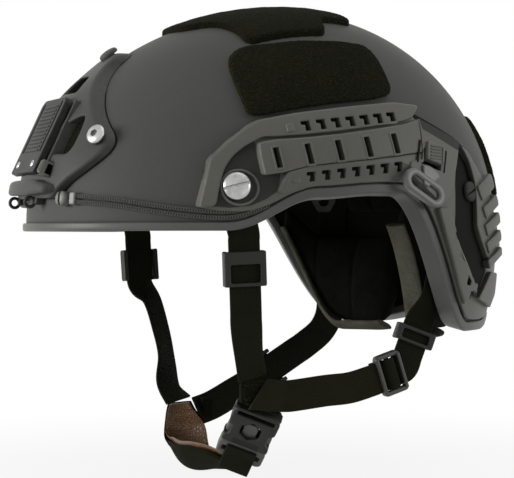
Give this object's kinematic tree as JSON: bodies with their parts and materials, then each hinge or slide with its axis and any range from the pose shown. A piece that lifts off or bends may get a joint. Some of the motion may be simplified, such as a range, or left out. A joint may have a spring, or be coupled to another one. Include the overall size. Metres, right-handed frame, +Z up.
{
  "type": "combat helmet",
  "caption": "High-cut protective helmet with side rails, a front mounting shroud, loop patches, a padded lining and a chin harness with a leather-lined cup.",
  "frame": {"origin": "centre of the brim plane, on the middle plane of the helmet", "axes": "+Y runs from the front to the nape, +X to the wearer's left, +Z up through the crown"},
  "size_m": [0.2318, 0.2828, 0.2625],
  "materials": {
    "shell": "satin grey coating over a laminated shell",
    "edging": "satin rubber",
    "loop_pile": "woven loop pile",
    "shroud": "moulded, fine grain",
    "plate": "moulded, fine grain",
    "bright_screws": "polished",
    "button": "moulded",
    "lip": "moulded",
    "hooks": "moulded",
    "cord": "braided elastic cord",
    "toggle": "moulded, light",
    "rail": "moulded, semi-gloss",
    "screws": "turned steel",
    "nuts": "plain steel",
    "lock_tab": "ribbed",
    "strap_loop": "satin",
    "hook_pile": "hook pile",
    "pad_cover": "brushed knit over foam",
    "webbing": "woven webbing",
    "slider": "moulded",
    "elastic": "ribbed elastic webbing",
    "buckle": "moulded",
    "buckle_prongs": "moulded",
    "cup": "matt, moulded",
    "leather": "smooth grain leather, stitched"
  },
  "bodies": {
    "helmet": {"shell": "shell", "edge_trim": "edging", "crown_patch": "loop_pile", "side_patch_left": "loop_pile", "side_patch_right": "loop_pile", "rear_patch": "loop_pile", "shroud": "shroud", "shroud_bolts": "screws", "shroud_plate": "plate", "plate_screws": "bright_screws", "shroud_lip": "lip", "lanyard_hooks": "hooks", "bungee_left": "cord", "bungee_right": "cord", "bungee_toggle_left": "toggle", "bungee_toggle_right": "toggle", "rail_left": "rail", "rail_right": "rail", "rail_bolts": "screws", "rail_rear_screws": "screws", "inner_nuts": "nuts", "hook_discs": "hook_pile", "front_pad": "pad_cover", "crown_pad": "pad_cover", "temple_pad_left": "pad_cover", "temple_pad_right": "pad_cover", "side_pad_left": "pad_cover", "side_pad_right": "pad_cover", "rear_liner_left": "pad_cover", "rear_liner_right": "pad_cover", "nape_pad": "pad_cover", "front_strap_left": "webbing", "front_strap_right": "webbing", "rear_strap_left": "webbing", "rear_strap_right": "webbing", "ladder_lock_left": "slider", "elastic_band_left": "elastic", "junction_left": "webbing", "junction_right": "webbing", "buckle_female": "buckle", "buckle_male": "buckle_prongs", "chin_strap": "webbing", "strap_tail": "webbing", "chin_cup": "cup", "chin_cup_lining": "leather"},
    "release_button": {"release_button": "button"},
    "rail_lock_left": {"rail_lock_left": "lock_tab"},
    "rail_lock_right": {"rail_lock_right": "lock_tab"},
    "strap_loop_left": {"strap_loop_left": "strap_loop"},
    "strap_loop_right": {"strap_loop_right": "strap_loop"},
    "front_slider_left": {"front_slider_left": "slider"},
    "front_slider_right": {"front_slider_right": "slider"},
    "rear_slider_left": {"rear_slider_left": "slider"},
    "rear_slider_right": {"rear_slider_right": "slider"}
  },
  "joints": [
    {"name": "release_press", "type": "slide", "parent": "helmet", "child": "release_button", "axis": [-1, 0, 0], "range_m": [0, 0.002], "stiffness_N_per_m": 300, "springref_m": -0.002},
    {"name": "lock_press_left", "type": "slide", "parent": "helmet", "child": "rail_lock_left", "axis": [-0.9186, -0.2922, -0.266], "range_m": [0, 0.0015], "stiffness_N_per_m": 300, "springref_m": -0.002},
    {"name": "lock_press_right", "type": "slide", "parent": "helmet", "child": "rail_lock_right", "axis": [0.9186, -0.2922, -0.266], "range_m": [0, 0.0015], "stiffness_N_per_m": 300, "springref_m": -0.002},
    {"name": "loop_swivel_left", "type": "hinge", "parent": "helmet", "child": "strap_loop_left", "pos_m": [0.10359, 0.03, 0.0167], "axis": [0.9673, 0.2195, 0.1274], "range_deg": [-15, 15]},
    {"name": "loop_swivel_right", "type": "hinge", "parent": "helmet", "child": "strap_loop_right", "pos_m": [-0.10359, 0.03, 0.0167], "axis": [-0.9673, 0.2195, 0.1274], "range_deg": [-15, 15]},
    {"name": "front_slide_left", "type": "slide", "parent": "helmet", "child": "front_slider_left", "axis": [-0.0449, 0.0499, -0.9977], "range_m": [-0.004, 0.012]},
    {"name": "front_slide_right", "type": "slide", "parent": "helmet", "child": "front_slider_right", "axis": [0.0449, 0.0499, -0.9977], "range_m": [-0.006, 0]},
    {"name": "rear_slide_left", "type": "slide", "parent": "helmet", "child": "rear_slider_left", "axis": [-0.039, -0.3474, -0.9369], "range_m": [-0.003, 0.005]},
    {"name": "rear_slide_right", "type": "slide", "parent": "helmet", "child": "rear_slider_right", "axis": [0.25, -0.8599, -0.445], "range_m": [-0.004, 0.004]}
  ]
}
